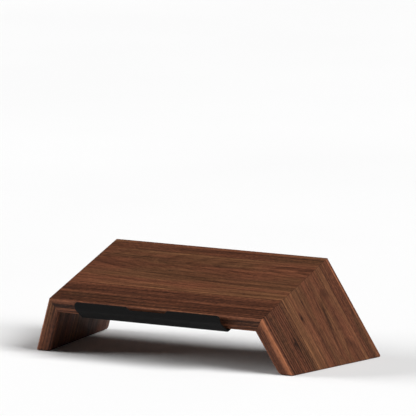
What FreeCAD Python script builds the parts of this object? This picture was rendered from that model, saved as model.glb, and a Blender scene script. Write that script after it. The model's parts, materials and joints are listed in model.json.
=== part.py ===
import FreeCAD, Part
import math
import os

# A walnut bridge stand that carries a laptop: a sloping top board on two splayed legs, joined by
# mitred corners, with a bent steel stop along the front edge. Millimetres, +Z up, +Y to the back.
#
# The wood and the stop are drawn in the board frame and then tilted into place. In that frame
# X runs across, Y runs up the slope from the board's front edge, and the top face is at Z = 0.

os.makedirs("parts", exist_ok=True)

Vec = FreeCAD.Vector
ORIGIN = Vec(0, 0, 0)
X_AXIS = Vec(1, 0, 0)
Y_AXIS = Vec(0, 1, 0)
Z_AXIS = Vec(0, 0, 1)

# Driving dimensions of the wooden frame
TILT = 18.0             # slope of the top board, degrees
SPLAY = 23.0            # lean of each leg away from the board's normal, degrees
TOP_WIDTH = 367.0       # across the top, from one mitred corner to the other
DEPTH = 216.0           # front to back, measured up the slope
THICK = 22.5            # every board
FRONT_HEIGHT = 86.0     # top face at the front edge, above the desk
STAVE_JOINTS = (65.0, 185.0)    # glue lines, measured back from the front edge
ARRIS_RADIUS = 4.0      # long front and back edges of every board, and those edges' way round each foot
HEEL_RADIUS = 8.0       # inner bottom edge of each leg
RIM_RADIUS = 0.8        # outer bottom edge of each leg
CORNER_FLAT = 0.45      # depth of the narrow flat sanded along each mitred corner

# Loose tenons across each mitre
TENON_PLACES = (34.0, 95.0, 155.0, 200.0)   # centres, back from the front edge
TENON_WIDTH = 20.0
TENON_THICK = 5.0
TENON_DEPTH = 12.0      # into each board
TENON_FROM_CORNER = 14.5        # down the mitre face from the outer corner
TENON_ROUND = 2.4
POCKET_SPARE = 0.5      # glue room at the end of each pocket

# Bent steel stop
STOP_LENGTH = 249.0
SHEET = 2.0
STOP_FACE = -22.4       # outer face of the upright plate, in front of the board
STOP_TOP = 10.0         # top of the plate, above the board's top face
STOP_UPPER_BEND = -2.3
STOP_LOWER_BEND = -5.3
STOP_FLANGE_END = 28.0
UPPER_BEND_RADIUS = 9.0         # outside radii
LOWER_BEND_RADIUS = 8.0
STOP_CORNER = 5.0
NOTCH_TOP_WIDTH = 71.0
NOTCH_FLOOR_WIDTH = 60.0
NOTCH_DEPTH = 5.0
NOTCH_ROUND = 2.5

# Felt liner inside the stop
LINER_THICK = 1.0
LINER_MARGIN = 1.5
LINER_HEIGHT = 11.0

# Fasteners of the stop
SCREW_PLACES = (-100.0, -36.0, 36.0, 100.0)
SCREW_LINE = 15.0       # back from the board's front edge
SCREW_RADIUS = 2.0
SCREW_LENGTH = 12.0
HEAD_RADIUS = 4.0
HEAD_HEIGHT = 2.1
HEX_ACROSS_FLATS = 2.5
HEX_DEPTH = 1.5
HEX_SIDES = 6
HOLE_SPARE = 0.2
INSERT_RADIUS = 3.2
INSERT_LENGTH = 9.5
INSERT_GROOVES = 3
INSERT_GROOVE_DEPTH = 0.4
INSERT_GROOVE_WIDTH = 1.0
INSERT_POCKET = 10.5

# Anti-slip strip under each leg
FOOT_THICK = 0.6
FOOT_OUTER_INSET = 3.0
FOOT_INNER_INSET = 6.0
FOOT_END_INSET = 6.0
FOOT_CORNER = 2.5

# Sizes of the cutting blocks, larger than anything they cut
REACH = 400.0
OVERLAP = 60.0

# Limits for picking edges
PARALLEL = 0.99
NEAR = 0.1

SIN_TILT = math.sin(math.radians(TILT))
COS_TILT = math.cos(math.radians(TILT))
MITRE = (90.0 - SPLAY) / 2      # the mitre face, measured from the board's normal, degrees
UNDERSIDE = -THICK


def centred_front():
    """Y of the board's front edge, so that the whole stand is centred on Y = 0."""
    stop_front = STOP_FACE * COS_TILT - STOP_TOP * SIN_TILT
    back_height = FRONT_HEIGHT - FOOT_THICK + DEPTH * SIN_TILT
    leg_back = DEPTH * COS_TILT + back_height * SIN_TILT / COS_TILT
    half_corner = math.radians((90 - TILT) / 2)
    lost_to_rounding = ARRIS_RADIUS / math.tan(half_corner) - ARRIS_RADIUS
    return -(stop_front + leg_back - lost_to_rounding) / 2


FRONT_Y = centred_front()


def stand_up(shape):
    """Tilt a shape from the board frame into the standing stand."""
    placed = shape.copy()
    placed.rotate(ORIGIN, X_AXIS, TILT)
    placed.translate(Vec(0, FRONT_Y, FRONT_HEIGHT))
    return placed


def mirrored(shape):
    return shape.mirror(ORIGIN, X_AXIS)


def block(low, high):
    """Box between two corners."""
    return Part.makeBox(high[0] - low[0], high[1] - low[1], high[2] - low[2], Vec(*low))


def edges_along(shape, axis):
    return [edge for edge in shape.Edges if abs(edge.tangentAt(0).dot(axis)) > PARALLEL]


def rounded_path(points, radii):
    """Edges of an open polyline whose inner corners are rounded; radii has one entry per corner."""
    edges = []
    start = points[0]
    for before, corner, after, radius in zip(points, points[1:], points[2:], radii):
        inward = (before - corner).normalize()
        outward = (after - corner).normalize()
        half_angle = inward.getAngle(outward) / 2
        reach = radius / math.tan(half_angle)
        arc_start = corner + inward * reach
        arc_end = corner + outward * reach
        bisector = (inward + outward).normalize()
        arc_middle = corner + bisector * (radius / math.sin(half_angle) - radius)
        edges.append(Part.LineSegment(start, arc_start).toShape())
        edges.append(Part.Arc(arc_start, arc_middle, arc_end).toShape())
        start = arc_end
    edges.append(Part.LineSegment(start, points[-1]).toShape())
    return edges


def at_mitre(shape):
    """Move a shape from the mitre's own axes, X across the joint and Z up out of the corner."""
    shape.rotate(ORIGIN, Y_AXIS, MITRE)
    shape.translate(Vec(TOP_WIDTH / 2, 0, 0))
    return shape


def mitre_block():
    """Everything on the leg's side of the right-hand mitre, in the board frame."""
    return at_mitre(block((0, -OVERLAP, -REACH), (REACH, DEPTH + OVERLAP, REACH)))


def corner_flat_block():
    """Trims the outer corner of the right-hand mitre to a narrow flat, in the board frame."""
    return at_mitre(block((-REACH, -OVERLAP, -CORNER_FLAT), (REACH, DEPTH + OVERLAP, REACH)))


def tenon(place, spare=0.0):
    """One loose tenon across the right-hand mitre, or its pocket when spare is given."""
    depth = TENON_DEPTH + spare
    low = (-depth, place - TENON_WIDTH / 2, -TENON_FROM_CORNER - TENON_THICK / 2)
    high = (depth, place + TENON_WIDTH / 2, -TENON_FROM_CORNER + TENON_THICK / 2)
    body = block(low, high)
    return at_mitre(body.makeFillet(TENON_ROUND, edges_along(body, X_AXIS)))


def tenon_pockets():
    return Part.makeCompound([tenon(place, POCKET_SPARE) for place in TENON_PLACES])


def mitre_tenons():
    return stand_up(Part.makeCompound([tenon(place) for place in TENON_PLACES]))


def insert_pockets():
    """Holes in the board's underside for the threaded inserts."""
    holes = []
    for x in SCREW_PLACES:
        holes.append(Part.makeCylinder(INSERT_RADIUS, INSERT_POCKET, Vec(x, SCREW_LINE, UNDERSIDE)))
    return Part.makeCompound(holes)


def top_board():
    """The whole top board, before it is divided into staves."""
    half = TOP_WIDTH / 2
    board = block((-half, 0, UNDERSIDE), (half, DEPTH, 0))
    board = board.makeFillet(ARRIS_RADIUS, edges_along(board, X_AXIS))
    for cutter in (mitre_block(), corner_flat_block(), tenon_pockets()):
        board = board.cut([cutter, mirrored(cutter)])
    return stand_up(board.cut(insert_pockets()))


def leg_prism(outer_inset, inner_inset, end_inset):
    """A bar that follows the right leg, standing, long enough to cross the mitre and the desk."""
    bar = block((-THICK + inner_inset, end_inset, -REACH), (-outer_inset, DEPTH - end_inset, OVERLAP))
    bar.rotate(ORIGIN, Y_AXIS, -SPLAY)
    bar.translate(Vec(TOP_WIDTH / 2, 0, 0))
    return stand_up(bar)


def slab(low_z, high_z):
    return block((-REACH, -REACH, low_z), (REACH, REACH, high_z))


def right_leg():
    """The whole right leg, before it is divided into staves."""
    leg = leg_prism(0, 0, 0).cut(slab(-REACH, FOOT_THICK))
    heel = min(long_rim_edges(leg), key=centre_x)
    leg = leg.makeFillet(HEEL_RADIUS, [heel])
    leg = leg.makeFillet(ARRIS_RADIUS, [edge for edge in leg.Edges if is_arris(edge)])
    outer_rim = max(long_rim_edges(leg), key=centre_x)
    leg = leg.makeFillet(RIM_RADIUS, [outer_rim])
    leg = leg.common(stand_up(mitre_block()))
    return leg.cut([stand_up(corner_flat_block()), stand_up(tenon_pockets())])


def centre_x(edge):
    return edge.CenterOfMass.x


def highest_end(edge):
    return max(vertex.Point.z for vertex in edge.Vertexes)


def long_rim_edges(leg):
    """The front-to-back edges of the leg's bottom face. The inmost one is its heel."""
    rim = [edge for edge in leg.Edges if highest_end(edge) < FOOT_THICK + NEAR]
    return [edge for edge in rim if edge.Length > DEPTH / 2]


def is_arris(edge):
    """True for the four long edges of a leg, which rise from the desk past the mitre."""
    return edge.Length > FRONT_HEIGHT and highest_end(edge) > FRONT_HEIGHT


def staves(panel):
    """Divide a glued panel at its glue lines: front, middle and rear."""
    limits = (-OVERLAP, *STAVE_JOINTS, DEPTH + OVERLAP)
    pieces = []
    for low, high in zip(limits, limits[1:]):
        pieces.append(panel.common(stand_up(block((-REACH, low, -REACH), (REACH, high, REACH)))))
    return pieces


def stop_outline():
    """Front view of the stop as a cutter: rounded top corners and a shallow notch in the middle."""
    half = STOP_LENGTH / 2
    notch_half = NOTCH_TOP_WIDTH / 2
    floor_half = NOTCH_FLOOR_WIDTH / 2
    notch_floor = STOP_TOP - NOTCH_DEPTH
    right_half = [(0, notch_floor), (floor_half, notch_floor), (notch_half, STOP_TOP), (half, STOP_TOP)]
    left_half = [(-x, z) for x, z in reversed(right_half[1:])]
    corners = [(-half, -OVERLAP), *left_half, *right_half[1:], (half, -OVERLAP)]
    points = [Vec(x, -OVERLAP, z) for x, z in corners]
    radii = [STOP_CORNER, NOTCH_ROUND, NOTCH_ROUND, NOTCH_ROUND, NOTCH_ROUND, STOP_CORNER]
    edges = rounded_path(points, radii)
    edges.append(Part.LineSegment(points[-1], points[0]).toShape())
    face = Part.Face(Part.Wire(edges))
    return face.extrude(Vec(0, 2 * OVERLAP, 0))


def stop_section():
    """Side view of the bent sheet: upright plate, incline and flange, as a closed face."""
    bottom = UNDERSIDE - SHEET
    outer = [
        Vec(0, STOP_FACE, STOP_TOP),
        Vec(0, STOP_FACE, STOP_UPPER_BEND),
        Vec(0, STOP_LOWER_BEND, bottom),
        Vec(0, STOP_FLANGE_END, bottom),
    ]
    incline = (outer[2] - outer[1]).normalize()
    turn_from_plate = math.acos(-incline.z)
    turn_to_flange = math.acos(incline.y)
    upper_shift = SHEET * math.tan(turn_from_plate / 2)
    lower_shift = SHEET * math.tan(turn_to_flange / 2)
    inner = [
        outer[0] + Vec(0, SHEET, 0),
        outer[1] + Vec(0, SHEET, upper_shift),
        outer[2] + Vec(0, lower_shift, SHEET),
        outer[3] + Vec(0, 0, SHEET),
    ]
    edges = rounded_path(outer, [UPPER_BEND_RADIUS, LOWER_BEND_RADIUS])
    edges.append(Part.LineSegment(outer[-1], inner[-1]).toShape())
    inner_radii = [LOWER_BEND_RADIUS - SHEET, UPPER_BEND_RADIUS - SHEET]
    edges.extend(rounded_path(inner[::-1], inner_radii))
    edges.append(Part.LineSegment(inner[0], outer[0]).toShape())
    return Part.Face(Part.Wire(edges))


def countersink(x):
    """Clearance hole and countersink for one screw, through the flange."""
    bottom = UNDERSIDE - SHEET
    hole = Part.makeCylinder(SCREW_RADIUS + HOLE_SPARE, SHEET, Vec(x, SCREW_LINE, bottom))
    cone = Part.makeCone(HEAD_RADIUS + HOLE_SPARE, SCREW_RADIUS + HOLE_SPARE, HEAD_HEIGHT,
                         Vec(x, SCREW_LINE, bottom))
    return hole.fuse(cone)


def front_stop():
    sheet = stop_section().extrude(Vec(STOP_LENGTH, 0, 0))
    sheet.translate(Vec(-STOP_LENGTH / 2, 0, 0))
    upright_edges = edges_along(sheet, Z_AXIS)
    back_corners = [edge for edge in upright_edges if edge.CenterOfMass.y > STOP_FLANGE_END - NEAR]
    sheet = sheet.makeFillet(STOP_CORNER, back_corners)
    sheet = sheet.common(stop_outline())
    return stand_up(sheet.cut([countersink(x) for x in SCREW_PLACES]))


def front_stop_liner():
    """Felt strip on the plate's inner face, cut to the plate's outline less a margin."""
    inner_face = STOP_FACE + SHEET
    half = STOP_LENGTH / 2 - LINER_MARGIN
    top = STOP_TOP - LINER_MARGIN
    strip = block((-half, inner_face, top - LINER_HEIGHT), (half, inner_face + LINER_THICK, top))
    strip = strip.makeFillet(STOP_CORNER - LINER_MARGIN, edges_along(strip, Y_AXIS))
    outline = stop_outline()
    outline.translate(Vec(0, 0, -LINER_MARGIN))
    return stand_up(strip.common(outline))


def stop_screw(x):
    """Countersunk screw with a hexagon socket, head flush with the flange."""
    bottom = UNDERSIDE - SHEET
    foot = Vec(x, SCREW_LINE, bottom)
    screw = Part.makeCone(HEAD_RADIUS, SCREW_RADIUS, HEAD_HEIGHT, foot)
    screw = screw.fuse(Part.makeCylinder(SCREW_RADIUS, SCREW_LENGTH, foot))
    corner_radius = HEX_ACROSS_FLATS / math.sqrt(3)
    corners = []
    for step in range(HEX_SIDES + 1):
        angle = 2 * math.pi * step / HEX_SIDES
        corners.append(foot + Vec(corner_radius * math.cos(angle), corner_radius * math.sin(angle), 0))
    socket = Part.Face(Part.makePolygon(corners)).extrude(Vec(0, 0, HEX_DEPTH))
    return screw.cut(socket)


def stop_screws():
    return stand_up(Part.makeCompound([stop_screw(x) for x in SCREW_PLACES]))


def threaded_insert(x):
    """Grooved brass sleeve let into the board's underside."""
    base = Vec(x, SCREW_LINE, UNDERSIDE)
    sleeve = Part.makeCylinder(INSERT_RADIUS, INSERT_LENGTH, base)
    sleeve = sleeve.cut(Part.makeCylinder(SCREW_RADIUS, INSERT_LENGTH, base))
    pitch = INSERT_LENGTH / (INSERT_GROOVES + 1)
    for index in range(INSERT_GROOVES):
        height = pitch * (index + 1) - INSERT_GROOVE_WIDTH / 2
        seat = base + Vec(0, 0, height)
        ring = Part.makeCylinder(INSERT_RADIUS, INSERT_GROOVE_WIDTH, seat)
        core = Part.makeCylinder(INSERT_RADIUS - INSERT_GROOVE_DEPTH, INSERT_GROOVE_WIDTH, seat)
        sleeve = sleeve.cut(ring.cut(core))
    return sleeve


def threaded_inserts():
    return stand_up(Part.makeCompound([threaded_insert(x) for x in SCREW_PLACES]))


def right_foot_strip():
    bar = leg_prism(FOOT_OUTER_INSET, FOOT_INNER_INSET, FOOT_END_INSET)
    long_edges = [edge for edge in bar.Edges if edge.Length > REACH]
    return bar.makeFillet(FOOT_CORNER, long_edges).common(slab(0, FOOT_THICK))


def save(name, shape):
    if not shape.isValid():
        raise ValueError(name + " is not a valid shape")
    for solid in shape.Solids:
        if not solid.isClosed():
            raise ValueError(name + " has an open solid")
    Part.makeCompound(shape.Solids).exportStep(os.path.join("parts", name + ".step"))
    print(name, len(shape.Solids), "solids,", round(shape.Volume / 1000, 2), "cm3")


def main():
    leg = right_leg()
    panels = {"top_board": top_board(), "right_leg": leg, "left_leg": mirrored(leg)}
    for panel_name, panel in panels.items():
        for place, stave in zip(("front", "middle", "rear"), staves(panel)):
            save(f"{panel_name}_{place}_stave", stave)
    tenons = mitre_tenons()
    save("right_mitre_tenons", tenons)
    save("left_mitre_tenons", mirrored(tenons))
    save("front_stop", front_stop())
    save("front_stop_liner", front_stop_liner())
    save("front_stop_screws", stop_screws())
    save("threaded_inserts", threaded_inserts())
    strip = right_foot_strip()
    save("right_foot_strip", strip)
    save("left_foot_strip", mirrored(strip))


main()
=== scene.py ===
import json
import math

import bmesh
import bpy
from mathutils import Matrix, Vector, noise

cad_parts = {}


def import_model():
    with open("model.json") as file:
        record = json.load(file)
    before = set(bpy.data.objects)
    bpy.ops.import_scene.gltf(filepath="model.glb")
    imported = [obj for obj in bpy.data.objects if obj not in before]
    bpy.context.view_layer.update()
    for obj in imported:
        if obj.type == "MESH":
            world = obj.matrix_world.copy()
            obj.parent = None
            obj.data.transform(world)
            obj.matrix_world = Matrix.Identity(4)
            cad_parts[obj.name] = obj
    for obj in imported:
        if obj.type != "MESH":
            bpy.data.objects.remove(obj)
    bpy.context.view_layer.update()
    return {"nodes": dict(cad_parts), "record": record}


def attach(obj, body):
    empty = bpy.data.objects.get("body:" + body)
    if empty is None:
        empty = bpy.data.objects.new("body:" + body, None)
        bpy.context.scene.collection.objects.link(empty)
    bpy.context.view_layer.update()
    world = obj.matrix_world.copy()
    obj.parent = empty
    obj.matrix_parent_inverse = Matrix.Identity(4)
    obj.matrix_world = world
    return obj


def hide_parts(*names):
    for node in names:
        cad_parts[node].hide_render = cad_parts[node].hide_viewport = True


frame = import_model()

# The looks of a walnut laptop stand, built round its CAD frame. Metres, +Z up, +Y to the back.

# Sizes that the CAD model was drawn to
TILT = math.radians(18.0)
SPLAY = math.radians(23.0)
TOP_WIDTH = 0.367
DEPTH = 0.216
THICK = 0.0225
STAVE_JOINTS = (0.065, 0.185)           # glue lines, back from the front edge
MITRE = math.pi / 4 - SPLAY / 2         # the mitre face, from the board's normal

MILLIMETRES = 1000.0                    # in a metre

# Camera, aimed at a point that far across its view from the middle of the floor, and that high
CAMERA_AZIMUTH = math.radians(29.372)
CAMERA_ELEVATION = math.radians(8.197)
CAMERA_ROLL = math.radians(0.461)
CAMERA_DISTANCE = 9.7822
CAMERA_LENS = 562.5
CAMERA_SENSOR = 36.0
CAMERA_CLIP_END = 200.0
AIM_ACROSS = 0.023232
AIM_HEIGHT = 0.224604

# Studio
FLOOR_RADIUS = 60.0
WORLD_STRENGTH = 0.06


# ---------------------------------------------------------------- places

def mount_point(name):
    for mount in frame["record"]["mounts"]:
        if mount["name"] == name:
            return Vector(mount["pos_m"])
    raise ValueError("no mount named " + name)


def board_frame():
    """World to board: X across, Y up the slope from the front edge, Z out of the top face."""
    slope = Vector((0, math.cos(TILT), math.sin(TILT)))
    front_edge = mount_point("laptop_rest") - slope * DEPTH / 2
    return Matrix.Rotation(-TILT, 4, "X") @ Matrix.Translation(-front_edge)


def leg_frame(side):
    """World to leg, side +1 right and -1 left: X out of the outer face, Z up along the leg."""
    to_corner = Matrix.Translation((-TOP_WIDTH / 2, 0, 0))
    mirror = Matrix.Diagonal((side, 1, 1, 1))
    return Matrix.Rotation(SPLAY, 4, "Y") @ to_corner @ board_frame() @ mirror


# Grain space: X along the grain, Y back from the front edge, Z below the outer face
BOARD_TO_GRAIN = Matrix(((1, 0, 0, 0), (0, 1, 0, 0), (0, 0, -1, 0), (0, 0, 0, 1)))
LEG_TO_GRAIN = Matrix(((0, 0, -1, 0), (0, 1, 0, 0), (-1, 0, 0, 0), (0, 0, 0, 1)))


# ---------------------------------------------------------------- shader graphs

class Graph:
    """A short way to write the nodes of one material."""

    def __init__(self, name):
        self.material = bpy.data.materials.new(name)
        self.material.use_nodes = True
        self.tree = self.material.node_tree
        self.tree.nodes.clear()

    def node(self, kind, inputs=None, **settings):
        made = self.tree.nodes.new("ShaderNode" + kind)
        for key, value in settings.items():
            setattr(made, key, value)
        for key, value in (inputs or {}).items():
            self.feed(made.inputs[key], value)
        return made

    def feed(self, socket, value):
        if isinstance(value, bpy.types.NodeSocket):
            self.tree.links.new(value, socket)
        else:
            socket.default_value = value

    def math(self, operation, *values, clamp=False):
        made = self.node("Math", operation=operation, use_clamp=clamp)
        for socket, value in zip(made.inputs, values):
            self.feed(socket, value)
        return made.outputs[0]

    def add(self, a, b):
        return self.math("ADD", a, b)

    def times(self, a, b):
        return self.math("MULTIPLY", a, b)

    def plus_times(self, a, factor, b):
        """a + factor * b"""
        return self.math("MULTIPLY_ADD", b, factor, a)

    def vector(self, operation, a, b):
        made = self.node("VectorMath", operation=operation)
        self.feed(made.inputs[0], a)
        self.feed(made.inputs[1], b)
        return made.outputs["Value" if operation in ("LENGTH", "DOT_PRODUCT") else "Vector"]

    def split(self, vector):
        return self.node("SeparateXYZ", {0: vector}).outputs

    def join(self, x, y, z):
        return self.node("CombineXYZ", {0: x, 1: y, 2: z}).outputs[0]

    def objects_place(self):
        return self.node("TexCoord").outputs["Object"]

    def place(self, matrix):
        """Object coordinates through a rigid or mirroring matrix, in millimetres."""
        flip = -1.0 if matrix.determinant() < 0 else 1.0
        turned = matrix.to_3x3() @ Matrix.Diagonal((flip, 1, 1))
        made = self.node("Mapping", {
            "Vector": self.objects_place(),
            "Scale": (flip * MILLIMETRES, MILLIMETRES, MILLIMETRES),
            "Rotation": turned.to_euler(),
            "Location": matrix.to_translation() * MILLIMETRES,
        })
        return made.outputs[0]

    def noise(self, place, size, seed=0.0, detail=2.0, roughness=0.5, distortion=0.0, output="Fac"):
        """Noise with features of the given size in millimetres, a number or one for each axis."""
        if not hasattr(size, "__len__"):
            size = (size, size, size)
        scaled = self.vector("DIVIDE", place, size)
        moved = self.vector("ADD", scaled, (seed * 7.31, seed * 3.17, seed * 5.73))
        made = self.node("TexNoise", {
            "Vector": moved, "Scale": 1.0, "Detail": detail,
            "Roughness": roughness, "Distortion": distortion,
        })
        return made.outputs[output]

    def ramp(self, factor, stops):
        """Colour or grey by position. A stop is (position, grey) or (position, (r, g, b))."""
        made = self.node("ValToRGB", {"Fac": factor})
        elements = made.color_ramp.elements
        while len(elements) < len(stops):
            elements.new(1.0)
        for element, (position, colour) in zip(elements, stops):
            element.position = position
            if not hasattr(colour, "__len__"):
                colour = (colour, colour, colour)
            element.color = (*colour, 1.0)
        return made.outputs["Color"]

    def step(self, value, low, high, start=0.0, end=1.0):
        """Smooth step from start, below low, to end, above high."""
        made = self.node("MapRange", {
            "Value": value, "From Min": low, "From Max": high, "To Min": start, "To Max": end,
        }, interpolation_type="SMOOTHSTEP")
        return made.outputs["Result"]

    def mix(self, factor, a, b, blend="MIX"):
        made = self.node("Mix", data_type="RGBA", blend_type=blend)
        self.feed(made.inputs["Factor"], factor)
        colour_a, colour_b = [s for s in made.inputs if s.type == "RGBA"]
        self.feed(colour_a, a)
        self.feed(colour_b, b)
        return [s for s in made.outputs if s.type == "RGBA"][0]

    def about_middle(self, value):
        """Noise or a tone between 0 and 1, as a shift either way from its middle."""
        return self.math("SUBTRACT", value, 0.5)

    def centred(self, colour, reach):
        """Noise colour as a shift of up to half of reach either way along each axis."""
        return self.vector("MULTIPLY", self.vector("SUBTRACT", colour, (0.5, 0.5, 0.5)), reach)

    def worn_edge(self, radius, low, high):
        """1 on a sharp edge and 0 on a flat face, where rounded and true normals agree."""
        soft = self.node("Bevel", {"Radius": radius}, samples=4).outputs[0]
        sharp = self.node("NewGeometry").outputs["Normal"]
        return self.step(self.vector("DOT_PRODUCT", soft, sharp), low, high, 1.0, 0.0)

    def bump(self, height, depth):
        """Normal from a height between 0 and 1 that stands for depth in metres."""
        return self.node("Bump", {"Height": height, "Distance": depth}).outputs[0]

    def finish(self, inputs):
        shader = self.node("BsdfPrincipled", inputs)
        output = self.node("OutputMaterial")
        self.tree.links.new(shader.outputs[0], output.inputs["Surface"])
        return self.material


# ---------------------------------------------------------------- walnut

# Colour by tone, from the darkest lines to the palest wood
WALNUT = [
    (0.00, (0.0110, 0.0042, 0.0022)),
    (0.20, (0.0360, 0.0132, 0.0065)),
    (0.45, (0.0830, 0.0302, 0.0145)),
    (0.70, (0.1400, 0.0535, 0.0255)),
    (1.00, (0.2600, 0.1040, 0.0470)),
]
OLIVE_DRIFT = (0.95, 1.04, 0.98, 1)
RED_DRIFT = (1.05, 0.96, 0.98, 1)
# Lighter tint on the rounded arrises: partly handling wear, partly a painted highlight
WEAR_AND_HIGHLIGHT_TINT = (1.25, 1.22, 1.2, 1)

# Feature sizes in millimetres: along the grain, back and below
SLOW_SIZE = (300, 80, 60)
QUICK_SIZE = (38, 16, 16)
RING_SHIFT_SIZE = (500, 24, 24)
BROAD_SIZE = (260, 8, 8)
PINSTRIPE_SIZE = (170, 2.2, 2.2)
FIBRE_SIZE = (46, 1.6, 1.6)
CRINKLE_SIZE = (5.5, 2.4, 2.4)
HAIR_SIZE = (16, 0.35, 0.35)
PORE_SIZE = (10.0, 0.8, 0.8)
WARMTH_SIZE = (150, 30, 30)
WEAR_AND_HIGHLIGHT_SIZE = (14, 4, 4)
SMEAR_SIZE = (60, 25, 25)

# How far each layer moves the tone
RING_TONE = 0.20
RING_TO_RING_TONE = 0.12
BROAD_TONE = 0.45
PINSTRIPE_TONE = 0.85
CRINKLE_TONE = 0.80
FIBRE_TONE = 0.65
HAIR_TONE = 0.30
SAPWOOD_TONE = 0.35
PORE_TONE = -0.24
GLUE_TONE = -0.22

# Growth rings: the tone across one ring, and how far noise shifts it, in rings
RING_PROFILE = [(0.0, 0.76), (0.30, 0.66), (0.58, 0.48), (0.76, 0.04), (0.92, 0.14), (1.0, 0.76)]
RING_SHIFT = 1.2
SAPWOOD_EDGE = 0.25         # half the width of the sapwood's edge, millimetres

# Knots, in knot sizes along, back and below, and how strongly the lines part round one
KNOT_REACH = (3.2, 1.3)
KNOT_BELOW = 1e6
KNOT_FALLOFF = -0.6
KNOT_PULL = 0.7

# Millimetres from a line or an edge, nearest and farthest
GLUE_LINE = (0.05, 0.4)
FRONT_EDGE = (1.0, 5.0)
ARRIS = (1.2, 4.5)

GRAIN_DEPTH = 0.00012


def part_round_knots(g, place, back, knots):
    """The grain's lines, parted round each knot, and the dark shade of the knots."""
    shade = 0.0
    for knot_along, knot_back, size, depth in knots:
        offset = g.vector("SUBTRACT", place, (knot_along, knot_back, 0.0))
        reach = (size * KNOT_REACH[0], size * KNOT_REACH[1], KNOT_BELOW)
        far = g.vector("LENGTH", g.vector("DIVIDE", offset, reach), (0, 0, 0))
        pull = g.math("EXPONENT", g.times(g.times(far, far), KNOT_FALLOFF))
        back = g.plus_times(back, g.times(pull, KNOT_PULL), g.math("SUBTRACT", knot_back, back))
        eye = g.step(far, 0.1, 0.6, 0.55, 0.0)
        cloud = g.step(far, 0.3, 1.5, 0.45, 0.0)
        shade = g.math("MAXIMUM", shade, g.times(g.add(eye, cloud), depth))
    return back, shade


def ring_radius(g, along, back, below, pith):
    """Distance from a pith that isn't quite parallel to the board."""
    pith_back, pith_below, drift = pith
    ring_back = g.math("SUBTRACT", back, pith_back)
    ring_below = g.plus_times(g.math("SUBTRACT", below, pith_below), drift, along)
    return g.math("SQRT", g.plus_times(g.times(ring_back, ring_back), ring_below, ring_below))


def streaked(g, tone, along, back, streak):
    """The tone with one dark streak, which fades at its sides and towards its ends."""
    along_1, back_1, along_2, back_2, half_width, depth = streak
    slant = (back_2 - back_1) / (along_2 - along_1)
    middle = g.plus_times(back_1 - slant * along_1, slant, along)
    aside = g.math("ABSOLUTE", g.math("SUBTRACT", back, middle))
    from_middle = g.math("ABSOLUTE", g.math("SUBTRACT", along, (along_1 + along_2) / 2))
    half_length = abs(along_2 - along_1) / 2
    shade = g.times(g.step(aside, 0.0, half_width, 1.0, 0.0),
                    g.step(from_middle, half_length * 0.5, half_length, 1.0, 0.0))
    return g.plus_times(tone, -depth, shade)


def glue_lines(g, along, back, below, corner):
    """1 on the thin glue lines at the mitre and between the staves, 0 elsewhere."""
    to_corner = along
    if corner:
        to_corner = g.math("SUBTRACT", corner * MILLIMETRES, g.math("ABSOLUTE", along))
    nearest = g.times(g.plus_times(to_corner, -math.tan(MITRE), below), math.cos(MITRE))
    for joint in STAVE_JOINTS:
        beside = g.math("ABSOLUTE", g.math("SUBTRACT", back, joint * MILLIMETRES))
        nearest = g.math("MINIMUM", nearest, beside)
    return g.step(nearest, *GLUE_LINE, 1.0, 0.0)


def nearer_edge(g, place, size):
    """Distance from a coordinate to the nearer end of its span, size in metres."""
    return g.math("MINIMUM", place, g.math("SUBTRACT", size * MILLIMETRES, place))


def tone_bands(g, place, size, bands):
    """Tone by place across a span, size in metres. A band is (millimetres, tone)."""
    span = size * MILLIMETRES
    return g.ramp(g.math("DIVIDE", place, span), [(at / span, tone) for at, tone in bands])


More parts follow.
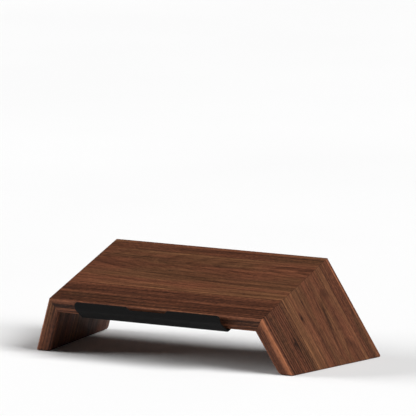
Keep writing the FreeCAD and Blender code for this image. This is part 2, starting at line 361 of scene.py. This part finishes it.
def walnut(name, matrix, seed, stave, corner, knots=(), streaks=(), face_stripes=None, sapwood=None):
    """Oiled walnut, drawn in the panel's grain space in millimetres.

    A stave gives its middle tone, stripes across the panel as (back, tone) pairs, how far the
    grain wanders, where its rings are centred as (back, below, drift along the grain), the ring
    gap, and the strength of its figure. corner is how far along the grain the mitred corner is
    from the middle of the panel, or 0 for a leg, which starts there. A knot is (along, back,
    size, depth of tone). A streak is (along, back, along, back, half width, depth of tone).
    face_stripes are (below, tone) pairs along the front edge. sapwood is the ring radius where
    pale sapwood begins.
    """
    g = Graph(name)
    place = g.place(matrix)
    straight_along, straight_back, straight_below = g.split(place)

    # The grain wanders slowly, and its lines part round a knot
    wander, shiver = stave["wander"], stave["shiver"]
    slow = g.noise(place, SLOW_SIZE, seed, detail=1.0, output="Color")
    quick = g.noise(place, QUICK_SIZE, seed + 1, output="Color")
    bent = g.vector("ADD", place, g.centred(slow, (0.0, wander, wander * 0.5)))
    bent = g.vector("ADD", bent, g.centred(quick, (0.0, shiver, shiver * 0.5)))
    along, back, below = g.split(bent)
    back, knot_shade = part_round_knots(g, place, back, knots)
    bent = g.join(along, back, below)

    # Growth rings
    radius = ring_radius(g, along, back, below, stave["pith"])
    ring_shift = g.noise(bent, RING_SHIFT_SIZE, seed + 2)
    count = g.plus_times(g.math("DIVIDE", radius, stave["ring_gap"]), RING_SHIFT, ring_shift)
    within = g.math("FRACT", count)
    ring = g.ramp(within, RING_PROFILE)
    which = g.node("TexWhiteNoise", {"W": g.math("FLOOR", count)}, noise_dimensions="1D")
    ring_to_ring = which.outputs["Value"]

    # Fibres, from broad bands to pinstripes and hairs
    broad = g.noise(bent, BROAD_SIZE, seed + 3)
    pinstripe = g.noise(bent, PINSTRIPE_SIZE, seed + 4, detail=1.0)
    fibre = g.noise(bent, FIBRE_SIZE, seed + 5, detail=4.0, roughness=0.62)
    crinkle = g.noise(bent, CRINKLE_SIZE, seed + 11, roughness=0.6)
    hair = g.noise(place, HAIR_SIZE, seed + 6)

    tone = g.add(tone_bands(g, back, DEPTH, stave["stripes"]), stave["tone"] - 0.5)
    for strength, layer in (
        (RING_TONE * stave["ring"], ring),
        (RING_TO_RING_TONE * stave["ring"], ring_to_ring),
        (BROAD_TONE * stave["figure"], broad),
        (PINSTRIPE_TONE * stave["pinstripe"], pinstripe),
        (CRINKLE_TONE * stave["crinkle"], crinkle),
        (FIBRE_TONE, fibre),
        (HAIR_TONE, hair),
    ):
        tone = g.plus_times(tone, strength, g.about_middle(layer))
    if face_stripes:
        face = tone_bands(g, straight_below, THICK, face_stripes)
        near_front = g.step(straight_back, *FRONT_EDGE, 1.0, 0.0)
        tone = g.plus_times(tone, near_front, g.about_middle(face))
    if sapwood:
        pale = g.step(radius, sapwood - SAPWOOD_EDGE, sapwood + SAPWOOD_EDGE)
        tone = g.plus_times(tone, SAPWOOD_TONE, pale)
    if knots:
        tone = g.math("SUBTRACT", tone, knot_shade)
    for streak in streaks:
        tone = streaked(g, tone, along, back, streak)

    # Short dark pores, thickest where each ring begins
    early = g.step(within, 0.1, 0.8, 0.07, -0.03)
    pores = g.step(g.add(g.noise(bent, PORE_SIZE, seed + 7, detail=1.0), early), 0.62, 0.72)
    tone = g.plus_times(tone, PORE_TONE, pores)
    glued = glue_lines(g, straight_along, straight_back, straight_below, corner)
    tone = g.plus_times(tone, GLUE_TONE, glued)
    colour = g.ramp(g.math("ADD", tone, 0.0, clamp=True), WALNUT)

    # Slow drift between a redder and a yellower brown
    warmth = g.add(g.noise(place, WARMTH_SIZE, seed + 8), stave["redness"])
    drift = g.mix(g.step(warmth, 0.36, 0.64), OLIVE_DRIFT, RED_DRIFT)
    colour = g.mix(1.0, colour, drift, "MULTIPLY")

    # Rounded arrises are handled, so they are a little smoother; their lighter colour is partly
    # handling wear and partly a painted highlight
    from_front = nearer_edge(g, straight_back, DEPTH)
    from_face = nearer_edge(g, straight_below, THICK)
    to_arris = g.math("SQRT", g.plus_times(g.times(from_front, from_front), from_face, from_face))
    wear_and_highlight_patches = g.step(g.noise(place, WEAR_AND_HIGHLIGHT_SIZE, seed + 9), 0.35, 0.7)
    wear_and_highlight = g.times(g.step(to_arris, *ARRIS, 1.0, 0.0), wear_and_highlight_patches)
    colour = g.mix(g.times(wear_and_highlight, 0.5), colour, WEAR_AND_HIGHLIGHT_TINT, "MULTIPLY")

    rough = g.step(g.noise(place, SMEAR_SIZE, seed + 10, detail=3.0), 0.3, 0.7, 0.52, 0.64)
    rough = g.plus_times(rough, 0.16, pores)
    rough = g.plus_times(rough, -0.07, wear_and_highlight)

    height = g.plus_times(0.5, 0.35, g.about_middle(fibre))
    height = g.plus_times(height, 0.25, g.about_middle(hair))
    height = g.plus_times(height, -0.5, pores)
    return g.finish({
        "Base Color": colour, "Roughness": rough, "IOR": 1.45, "Specular IOR Level": 0.14,
        "Normal": g.bump(height, GRAIN_DEPTH),
    })


def beech(name):
    """Raw beech of the loose tenons, grain along X."""
    g = Graph(name)
    place = g.place(Matrix.Identity(4))
    fibre = g.noise(place, (30, 1.0, 1.0), seed=40, detail=4.0)
    fleck = g.noise(place, (3.0, 0.5, 0.5), seed=41, detail=1.0)
    tone = g.plus_times(fibre, 0.4, g.step(fleck, 0.62, 0.7))
    colour = g.ramp(tone, [
        (0.25, (0.44, 0.27, 0.14)), (0.6, (0.60, 0.41, 0.24)), (0.9, (0.42, 0.24, 0.12)),
    ])
    return g.finish({
        "Base Color": colour, "Roughness": g.step(fibre, 0.3, 0.7, 0.6, 0.75),
        "Normal": g.bump(fibre, 0.0001),
    })


# ---------------------------------------------------------------- metal, felt and rubber

def powder_coat(name):
    """Matte black powder coat: fine orange peel, faint cloudiness and rubbed edges."""
    g = Graph(name)
    place = g.place(Matrix.Identity(4))
    peel = g.noise(place, 0.55, seed=20, detail=3.0, roughness=0.6)
    speck = g.noise(place, 0.22, seed=21, detail=1.0)
    cloud = g.noise(place, 24.0, seed=22, detail=3.0)
    patchy = g.step(g.noise(place, 3.0, seed=23, detail=3.0), 0.4, 0.65)
    worn = g.times(g.worn_edge(0.0012, 0.80, 0.985), patchy)
    colour = g.ramp(cloud, [(0.3, (0.0030, 0.0029, 0.0029)), (0.7, (0.0042, 0.0040, 0.0040))])
    colour = g.mix(g.times(g.step(speck, 0.55, 0.75), 0.5), colour, (0.009, 0.0085, 0.0085, 1))
    colour = g.mix(g.times(worn, 0.6), colour, (0.022, 0.021, 0.021, 1))
    rough = g.plus_times(g.step(cloud, 0.3, 0.7, 0.50, 0.60), 0.12, speck)
    rough = g.plus_times(rough, -0.12, worn)
    height = g.plus_times(g.times(peel, 0.8), 0.2, speck)
    return g.finish({
        "Base Color": colour, "Roughness": rough, "IOR": 1.5, "Specular IOR Level": 0.07,
        "Normal": g.bump(height, 0.00008),
    })


def felt(name):
    """Pressed black wool felt."""
    g = Graph(name)
    place = g.place(Matrix.Identity(4))
    tangle = g.noise(place, 0.9, seed=50, detail=5.0, roughness=0.7, distortion=2.0)
    tuft = g.noise(place, 4.0, seed=51)
    strand = g.node("TexVoronoi", {"Vector": place, "Scale": 1.4, "Randomness": 1.0},
                    feature="DISTANCE_TO_EDGE").outputs["Distance"]
    fuzz = g.plus_times(tangle, 0.4, g.step(strand, 0.0, 0.25))
    colour = g.ramp(fuzz, [
        (0.45, (0.004, 0.004, 0.0042)), (0.75, (0.012, 0.012, 0.0125)), (1.0, (0.045, 0.045, 0.046)),
    ])
    colour = g.mix(g.step(tuft, 0.4, 0.7, 0.0, 0.4), colour, (1.3, 1.3, 1.3, 1), "MULTIPLY")
    return g.finish({
        "Base Color": colour, "Roughness": g.step(tangle, 0.3, 0.7, 0.88, 1.0),
        "Specular IOR Level": 0.15, "Sheen Weight": 0.12, "Sheen Roughness": 0.5,
        "Normal": g.bump(fuzz, 0.0003),
    })


def rubber(name):
    """Thin grey-black rubber with dust in a fine texture."""
    g = Graph(name)
    place = g.place(Matrix.Identity(4))
    grit = g.noise(place, 0.7, seed=60, detail=3.0)
    dust = g.noise(place, (12, 30, 8), seed=61, detail=4.0)
    colour = g.ramp(dust, [(0.35, (0.016, 0.0155, 0.015)), (0.75, (0.034, 0.033, 0.031))])
    return g.finish({
        "Base Color": colour, "Roughness": g.step(grit, 0.3, 0.7, 0.75, 0.9),
        "Normal": g.bump(grit, 0.0001),
    })


def screw_steel(name):
    """Black oxide steel, worn bright round the socket."""
    g = Graph(name)
    place = g.place(Matrix.Identity(4))
    blotch = g.noise(place, 1.6, seed=70, detail=3.0)
    scratch = g.noise(place, (6.0, 0.12, 0.12), seed=71)
    worn = g.worn_edge(0.0004, 0.75, 0.98)
    colour = g.ramp(blotch, [(0.3, (0.045, 0.045, 0.048)), (0.7, (0.085, 0.084, 0.085))])
    colour = g.mix(g.times(worn, 0.7), colour, (0.34, 0.33, 0.32, 1))
    return g.finish({
        "Base Color": colour, "Metallic": 1.0, "Roughness": g.step(scratch, 0.3, 0.7, 0.30, 0.48),
        "Normal": g.bump(scratch, 0.00002),
    })


def brass(name):
    """Turned brass of the threaded inserts."""
    g = Graph(name)
    place = g.place(Matrix.Identity(4))
    tarnish = g.noise(place, 3.0, seed=80, detail=4.0)
    turned = g.noise(place, (0.1, 8.0, 8.0), seed=81, detail=1.0)
    colour = g.ramp(tarnish, [(0.3, (0.42, 0.27, 0.10)), (0.7, (0.70, 0.50, 0.22))])
    return g.finish({
        "Base Color": colour, "Metallic": 1.0, "Roughness": g.step(tarnish, 0.3, 0.7, 0.5, 0.28),
        "Normal": g.bump(turned, 0.00002),
    })


# ---------------------------------------------------------------- dress the CAD nodes

def dress(node, material):
    mesh = frame["nodes"][node].data
    if not mesh.materials:
        mesh.materials.append(material)
    for index in range(len(mesh.materials)):
        mesh.materials[index] = material


# Broad tone bands across a panel as (back, tone); the rings and fibres do the rest
FRONT_STRIPES = [
    (0, 0.52), (5, 0.50), (5.8, 0.36), (8.5, 0.38), (12, 0.45), (26, 0.46), (44, 0.51), (53, 0.54),
    (56.5, 0.60), (59, 0.52), (66, 0.56),
]
MIDDLE_STRIPES = [
    (64, 0.80), (66.8, 0.80), (68.2, 0.58), (83, 0.62), (86.5, 0.50), (89.5, 0.62), (97, 0.58),
    (104, 0.51), (110, 0.53), (127, 0.53), (141, 0.46), (148, 0.52), (157, 0.46), (172, 0.52),
    (180, 0.60), (186, 0.62),
]
# The pale band from 208 to 212 mm, next to the rounded back arris, is a painted highlight
REAR_STRIPES = [(184, 0.47), (200, 0.49), (206, 0.53), (208, 0.70), (212, 0.68), (216, 0.55)]

STAVES = {
    "front": {
        "tone": 0.39, "stripes": FRONT_STRIPES, "wander": 3.0, "shiver": 1.6,
        "pith": (173.2, 90.0, 0.0), "ring_gap": 3.9, "ring": 2.0,
        "figure": 0.4, "pinstripe": 0.8, "crinkle": 0.8, "redness": 0.10,
    },
    "middle": {
        "tone": 0.47, "stripes": MIDDLE_STRIPES, "wander": 7.0, "shiver": 3.0,
        "pith": (160.0, 43.6, 0.12), "ring_gap": 5.6, "ring": 1.0,
        "figure": 0.9, "pinstripe": 0.6, "crinkle": 0.5, "redness": 0.0,
    },
    "rear": {
        "tone": 0.44, "stripes": REAR_STRIPES, "wander": 3.0, "shiver": 2.0,
        "pith": (290.0, 70.0, 0.0), "ring_gap": 4.0, "ring": 0.9,
        "figure": 0.6, "pinstripe": 0.9, "crinkle": 0.8, "redness": 0.06,
    },
}
STAVE_SEED_STEP = 11

# face is (below, tone) along the front edge
PANELS = {
    "top_board": {
        "grain": BOARD_TO_GRAIN @ board_frame(), "corner": TOP_WIDTH / 2, "seed": 1.0, "sapwood": None,
        "face": [
            # The pale band at the bottom, from about 19 mm below the top, is a painted highlight of
            # the rounded front-bottom arris
            (0, 0.48), (10, 0.44), (11.5, 0.28), (13, 0.28), (14, 0.66), (17, 0.62), (18.2, 0.46),
            (20, 0.68), (22.5, 0.72),
        ],
    },
    "right_leg": {
        "grain": LEG_TO_GRAIN @ leg_frame(1), "corner": 0.0, "seed": 30.0, "sapwood": 191.2,
        "face": [(0, 0.62), (9, 0.62), (11, 0.54), (16, 0.60), (22.5, 0.56)],
    },
    "left_leg": {
        "grain": LEG_TO_GRAIN @ leg_frame(-1), "corner": 0.0, "seed": 61.0, "sapwood": None,
        "face": [
            (0, 0.50), (1.3, 0.66), (3.4, 0.42), (5.6, 0.64), (7.5, 0.50), (9, 0.32), (9.9, 0.80),
            (11.6, 0.80), (12.6, 0.36), (15.5, 0.50), (18, 0.40), (22.5, 0.42),
        ],
    },
}
STREAKS = {
    "right_leg_middle_stave": [
        (36.0, 145.0, 96.0, 138.0, 5.0, 0.17), (60.0, 146.0, 150.0, 124.0, 4.0, 0.12),
        (0.0, 104.0, 130.0, 108.0, 2.6, 0.05), (10.0, 163.0, 120.0, 160.0, 4.0, 0.08),
    ],
    "right_leg_rear_stave": [(5.0, 196.0, 90.0, 194.0, 3.0, 0.10)],
    "top_board_middle_stave": [
        (-90.0, 118.0, 60.0, 112.0, 5.0, 0.14), (-20.0, 150.0, 130.0, 157.0, 4.0, 0.12),
    ],
    "left_leg_middle_stave": [(20.0, 120.0, 120.0, 131.0, 4.0, 0.14)],
}
KNOTS = {
    "right_leg_front_stave": [(66.0, 44.0, 4.2, 0.32)],
    "right_leg_middle_stave": [(42.5, 86.7, 3.1, 0.60)],
}

for panel_name, panel in PANELS.items():
    for index, (stave_name, stave) in enumerate(STAVES.items()):
        node_name = f"{panel_name}_{stave_name}_stave"
        in_front = stave_name == "front"
        seed = panel["seed"] + STAVE_SEED_STEP * index
        dress(node_name, walnut(
            "walnut_" + node_name, panel["grain"], seed, stave, panel["corner"],
            knots=KNOTS.get(node_name, ()), streaks=STREAKS.get(node_name, ()),
            face_stripes=panel["face"] if in_front else None,
            sapwood=panel["sapwood"] if in_front else None,
        ))

dress("right_mitre_tenons", beech("beech_right"))
dress("left_mitre_tenons", beech("beech_left"))
dress("front_stop", powder_coat("stop_powder_coat"))
dress("front_stop_screws", screw_steel("screw_black_oxide"))
dress("threaded_inserts", brass("insert_brass"))
dress("right_foot_strip", rubber("foot_rubber_right"))
dress("left_foot_strip", rubber("foot_rubber_left"))


# ---------------------------------------------------------------- felt liner

LINER_HALF = 0.123
LINER_TOP = 0.0085
LINER_BOTTOM = -0.0025
LINER_FACE = -0.0204        # the face glued to the plate, in front of the board
LINER_THICK = 0.001
LINER_CORNER = 0.0035
NOTCH_DEPTH = 0.005
NOTCH_FLOOR_HALF = 0.030
NOTCH_TOP_HALF = 0.0355
NOTCH_ROUND = 0.0022
FELT_STEP = 0.0006
FELT_LUMP = 0.00005
FELT_LUMPS_PER_METRE = 900
FELT_GLUED = 0.04           # the glued face and the free face, as shares of the thickness
FELT_FREE = 0.92
FELT_EDGE = 0.35            # share of the free face's height that is left at a cut edge
FELT_EDGE_WIDTH = 0.8       # how wide the softened edge is, in thicknesses


def end_round(x):
    """How far the outline has drawn in from its top and bottom at x, near a rounded end."""
    over = abs(x) - (LINER_HALF - LINER_CORNER)
    if over <= 0:
        return 0.0
    return LINER_CORNER - math.sqrt(max(0.0, LINER_CORNER ** 2 - over ** 2))


def notch_drop(x):
    """How far the top edge dips at x: a shallow notch with sloping, eased sides."""
    middle = (NOTCH_FLOOR_HALF + NOTCH_TOP_HALF) / 2
    reach = (NOTCH_TOP_HALF - NOTCH_FLOOR_HALF) / 2 + NOTCH_ROUND / 2
    t = min(1.0, max(0.0, (middle + reach - abs(x)) / (2 * reach)))
    return NOTCH_DEPTH * t * t * (3 - 2 * t)


def felt_liner():
    """Pressed felt strip glued inside the stop, with cut edges that have gone soft and round."""
    across = round(2 * LINER_HALF / FELT_STEP)
    rows = round((LINER_TOP - LINER_BOTTOM) / FELT_STEP)
    shape = bmesh.new()
    front, back = [], []
    for i in range(across + 1):
        x = -LINER_HALF + 2 * LINER_HALF * i / across
        low = LINER_BOTTOM + end_round(x)
        high = LINER_TOP - max(end_round(x), notch_drop(x))
        front_column, back_column = [], []
        for j in range(rows + 1):
            v = low + (high - low) * j / rows
            inset = min(v - low, high - v, LINER_HALF - abs(x))
            rise = math.sqrt(min(1.0, max(0.0, inset) / (LINER_THICK * FELT_EDGE_WIDTH)))
            squeeze = FELT_EDGE + (1 - FELT_EDGE) * rise
            place = Vector((x, v, 0.0)) * FELT_LUMPS_PER_METRE
            lump = FELT_LUMP * noise.fractal(place, 0.8, 2.0, 4)
            glued = LINER_FACE + LINER_THICK * FELT_GLUED
            free = LINER_FACE + LINER_THICK * FELT_FREE * squeeze + lump
            front_column.append(shape.verts.new((x, glued, v)))
            back_column.append(shape.verts.new((x, free, v)))
        front.append(front_column)
        back.append(back_column)
    for i in range(across):
        for j in range(rows):
            shape.faces.new((front[i][j], front[i + 1][j], front[i + 1][j + 1], front[i][j + 1]))
            shape.faces.new((back[i][j], back[i][j + 1], back[i + 1][j + 1], back[i + 1][j]))
        shape.faces.new((front[i][0], back[i][0], back[i + 1][0], front[i + 1][0]))
        shape.faces.new((front[i][rows], front[i + 1][rows], back[i + 1][rows], back[i][rows]))
    for i in (0, across):
        for j in range(rows):
            rim = (front[i][j], front[i][j + 1], back[i][j + 1], back[i][j])
            shape.faces.new(rim if i == 0 else rim[::-1])
    bmesh.ops.recalc_face_normals(shape, faces=shape.faces)
    for face in shape.faces:
        face.smooth = True
    mesh = bpy.data.meshes.new("felt_liner")
    shape.to_mesh(mesh)
    shape.free()
    mesh.transform(board_frame().inverted())
    mesh.materials.append(felt("liner_felt"))
    made = bpy.data.objects.new("felt_liner", mesh)
    bpy.context.scene.collection.objects.link(made)
    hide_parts("front_stop_liner")
    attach(made, "root")


felt_liner()


# ---------------------------------------------------------------- floor, light and camera

def floor():
    mesh = bpy.data.meshes.new("studio_floor")
    shape = bmesh.new()
    bmesh.ops.create_circle(shape, cap_ends=True, segments=96, radius=FLOOR_RADIUS)
    shape.to_mesh(mesh)
    shape.free()
    made = bpy.data.objects.new("studio_floor", mesh)
    bpy.context.scene.collection.objects.link(made)
    g = Graph("studio_floor")
    cloud = g.noise(g.place(Matrix.Identity(4)), 900.0, seed=90)
    colour = g.ramp(cloud, [(0.3, (0.86, 0.86, 0.86)), (0.7, (0.88, 0.88, 0.88))])
    finish = {"Base Color": colour, "Roughness": 0.9, "Specular IOR Level": 0.1}
    mesh.materials.append(g.finish(finish))


def soft_light(name, azimuth, elevation, spread, power):
    """A distant softbox, in degrees: azimuth 0 is in front and 90 to the right."""
    data = bpy.data.lights.new(name, "SUN")
    data.angle = math.radians(spread)
    data.energy = power
    made = bpy.data.objects.new(name, data)
    a, e = math.radians(azimuth), math.radians(elevation)
    away = Vector((math.sin(a) * math.cos(e), -math.cos(a) * math.cos(e), math.sin(e)))
    made.rotation_mode = "QUATERNION"
    made.rotation_quaternion = away.to_track_quat("Z", "Y")
    bpy.context.scene.collection.objects.link(made)


def world(strength):
    made = bpy.data.worlds.new("studio_world")
    made.use_nodes = True
    background = made.node_tree.nodes["Background"]
    background.inputs["Color"].default_value = (1, 1, 1, 1)
    background.inputs["Strength"].default_value = strength
    bpy.context.scene.world = made


def camera():
    a, e, r = CAMERA_AZIMUTH, CAMERA_ELEVATION, CAMERA_ROLL
    back = Vector((math.sin(a) * math.cos(e), -math.cos(a) * math.cos(e), math.sin(e)))
    right = Vector((math.cos(a), math.sin(a), 0))
    up = back.cross(right)
    rolled_right = right * math.cos(r) + up * math.sin(r)
    rolled_up = up * math.cos(r) - right * math.sin(r)
    aim = right * AIM_ACROSS + Vector((0, 0, AIM_HEIGHT))
    data = bpy.data.cameras.new("photo_camera")
    data.lens = CAMERA_LENS
    data.sensor_width = CAMERA_SENSOR
    data.clip_end = CAMERA_CLIP_END
    made = bpy.data.objects.new("photo_camera", data)
    turn = Matrix((rolled_right, rolled_up, back)).transposed().to_4x4()
    made.matrix_world = Matrix.Translation(aim + back * CAMERA_DISTANCE) @ turn
    bpy.context.scene.collection.objects.link(made)
    bpy.context.scene.camera = made


floor()
world(WORLD_STRENGTH)
soft_light("softbox_left", azimuth=-68, elevation=16, spread=34, power=3.3)
soft_light("softbox_right", azimuth=80, elevation=40, spread=34, power=3.9)
camera()
bpy.context.scene.view_settings.view_transform = "Standard"
